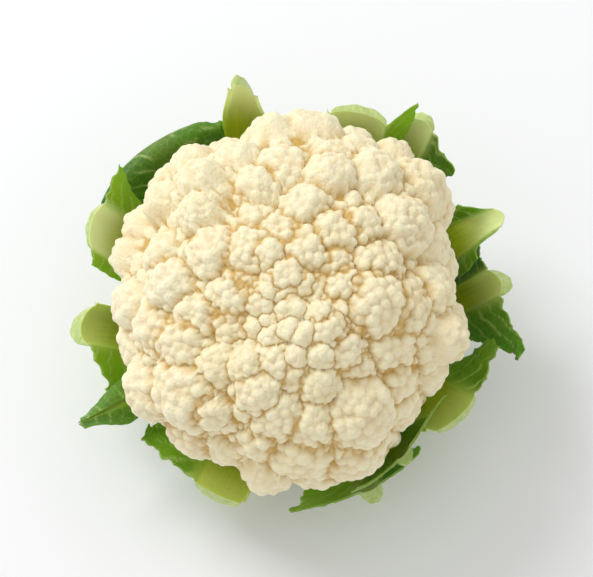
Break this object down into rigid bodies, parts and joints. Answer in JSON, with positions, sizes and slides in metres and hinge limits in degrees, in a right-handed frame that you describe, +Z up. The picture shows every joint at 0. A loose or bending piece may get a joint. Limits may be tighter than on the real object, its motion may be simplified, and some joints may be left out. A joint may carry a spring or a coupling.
{
  "type": "cauliflower",
  "caption": "Whole cauliflower head with a domed white curd of florets, trimmed green leaf bases and a flat-cut stalk on which it stands.",
  "frame": {"origin": "middle of the flat cut under the stalk, on the surface that the cauliflower stands on", "axes": "+Z up, out of the curd; -Y towards the viewer of the picture, the way the head leans; +X to the viewer's right"},
  "size_m": [0.1989, 0.179, 0.1402],
  "materials": {
    "curd": "creamy white, fine-grained and slightly moist, warm yellow in the creases",
    "stalk": "pale green, smooth, with a moist pale cut face",
    "leaf": "waxy green blade with pale veins and a pale, juicy midrib"
  },
  "bodies": {
    "root": {"curd": "curd", "stalk": "stalk", "leaf_01": "leaf", "leaf_02": "leaf", "leaf_03": "leaf", "leaf_04": "leaf", "leaf_05": "leaf", "leaf_06": "leaf", "leaf_07": "leaf", "leaf_08": "leaf", "leaf_09": "leaf", "leaf_10": "leaf", "leaf_11": "leaf", "leaf_12": "leaf", "leaf_13": "leaf"}
  },
  "joints": []
}
